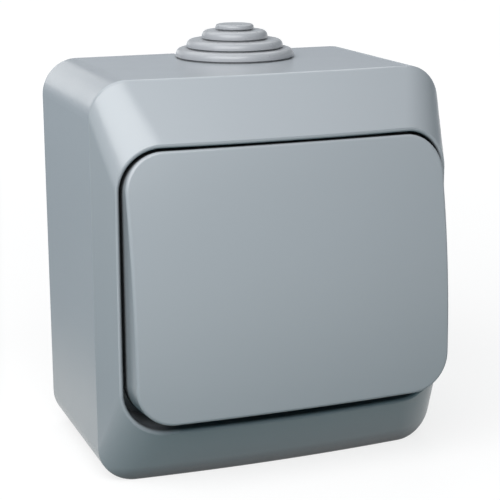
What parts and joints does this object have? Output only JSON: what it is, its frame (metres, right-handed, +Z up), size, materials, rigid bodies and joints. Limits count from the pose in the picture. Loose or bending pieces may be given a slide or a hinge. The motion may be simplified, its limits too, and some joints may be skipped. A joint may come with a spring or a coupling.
{
  "type": "outdoor weatherproof rocker switch",
  "caption": "Grey surface-mounted outdoor rocker switch: bevelled hood with bowed creases, large tilting rocker, stepped rubber cable grommet, and a back box holding a seesaw contact insert.",
  "frame": {"origin": "middle of the hood's outline, on the wall plane at the back of the box", "axes": "+Y into the wall, -Y out of the front, +Z up, +X right as seen from the front"},
  "size_m": [0.074, 0.0567, 0.088],
  "materials": {
    "hood_plastic": "glossy moulded grey",
    "grommet_rubber": "soft sheen light grey",
    "box_plastic": "matt moulded grey",
    "insert_plastic": "matt ivory moulding",
    "carrier_plastic": "matt black moulding",
    "plunger_plastic": "smooth white moulding",
    "spring_steel": "drawn wire",
    "contact_brass": "stamped strip",
    "contact_silver": "bright silver rivets",
    "plated_steel": "zinc plated",
    "seal_rubber": "matt black"
  },
  "bodies": {
    "case": {"hood": "hood_plastic", "base_box": "box_plastic", "cable_grommet": "grommet_rubber", "mechanism_base": "insert_plastic", "mechanism_frame": "insert_plastic", "front_seal": "seal_rubber", "upper_contact": "contact_brass", "lower_contact": "contact_brass", "common_contact": "contact_brass", "fixed_contact_tips": "contact_silver", "terminal_clamps": "plated_steel", "terminal_screws": "plated_steel", "mechanism_screws": "plated_steel", "cover_screws": "plated_steel", "earth_terminal": "contact_brass", "earth_terminal_screws": "plated_steel"},
    "rocker": {"rocker_button": "hood_plastic", "rocker_carrier": "carrier_plastic", "toggle_plunger": "plunger_plastic", "toggle_spring": "spring_steel"},
    "bridge": {"contact_bridge": "contact_brass", "moving_contacts": "contact_silver"}
  },
  "joints": [
    {"name": "rocker_tilt", "type": "hinge", "parent": "case", "child": "rocker", "pos_m": [0, -0.0409, 0.0006], "axis": [1, 0, 0], "range_deg": [0, 13.56]},
    {"name": "bridge_tilt", "type": "hinge", "parent": "case", "child": "bridge", "pos_m": [0, -0.0148, 0.0006], "axis": [1, 0, 0], "range_deg": [-13.56, 0]}
  ],
  "couplings": [
    {"joint": "bridge_tilt", "follows": "rocker_tilt", "ratio": -1}
  ]
}
